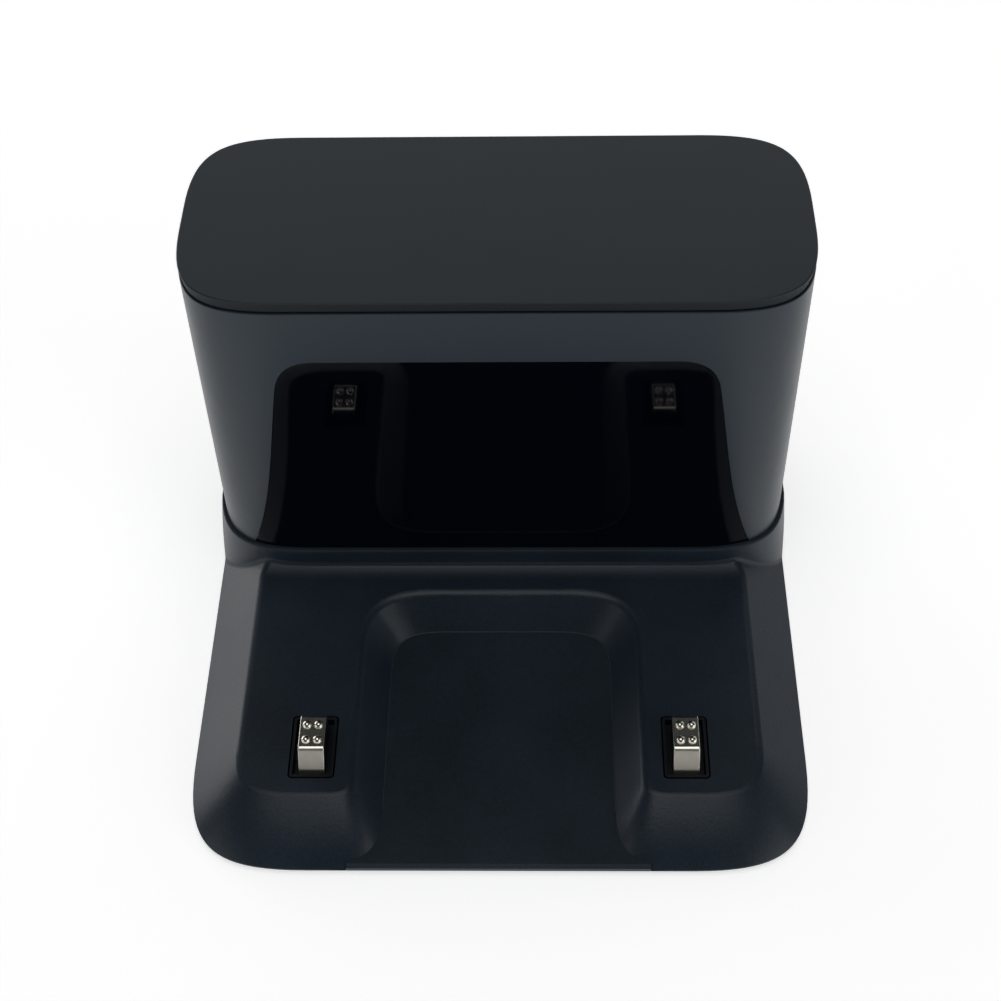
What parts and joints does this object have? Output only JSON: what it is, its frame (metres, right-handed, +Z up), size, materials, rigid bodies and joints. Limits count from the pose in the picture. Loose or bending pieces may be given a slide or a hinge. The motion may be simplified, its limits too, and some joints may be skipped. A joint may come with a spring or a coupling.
{
  "type": "robot vacuum charging dock",
  "caption": "Charging dock with an upright soft-cornered tower, a glossy sensor window and a low base with a caster channel and sprung metal contacts.",
  "frame": {"origin": "on the floor, under the middle of the base", "axes": "+X to the right seen from the robot's side, +Y towards the tower, +Z up"},
  "size_m": [0.13, 0.1264, 0.0899],
  "materials": {
    "housing": "fine satin moulded texture, charcoal",
    "underside": "moulded, charcoal",
    "window": "polished black, passes infrared",
    "holder": "moulded, black",
    "contact": "nickel plated",
    "steel": "zinc plated",
    "inner_plastic": "moulded, black",
    "foot": "soft matte rubber",
    "emitter": "tinted clear resin",
    "lead": "insulated wire",
    "board": "green solder mask"
  },
  "bodies": {
    "dock": {"ballast_plate": "steel", "base_cover": "housing", "board_frame": "inner_plastic", "board_screws": "steel", "bottom_plate": "underside", "contact_holder_left": "holder", "contact_holder_right": "holder", "contact_lead_left": "lead", "contact_lead_right": "lead", "contact_spring_left": "steel", "contact_spring_right": "steel", "contact_terminal_left": "contact", "contact_terminal_right": "contact", "control_board": "board", "emitter_centre": "emitter", "emitter_left": "emitter", "emitter_right": "emitter", "foot_back_left": "foot", "foot_back_right": "foot", "foot_front_left": "foot", "foot_front_right": "foot", "front_window": "window", "inlet_lead": "lead", "plate_screws": "steel", "power_inlet": "inner_plastic", "top_lid": "housing", "tower_screws": "steel", "tower_shell": "housing"},
    "left_contact": {"contact_plunger_left": "holder", "contact_strip_left": "contact"},
    "right_contact": {"contact_plunger_right": "holder", "contact_strip_right": "contact"}
  },
  "joints": [
    {"name": "left_contact_travel", "type": "slide", "parent": "dock", "child": "left_contact", "axis": [0, 0, 1], "range_m": [-0.003, 0], "stiffness_N_per_m": 250, "springref_m": 0.002, "deforming": ["contact_spring_left"]},
    {"name": "right_contact_travel", "type": "slide", "parent": "dock", "child": "right_contact", "axis": [0, 0, 1], "range_m": [-0.003, 0], "stiffness_N_per_m": 250, "springref_m": 0.002, "deforming": ["contact_spring_right"]}
  ]
}
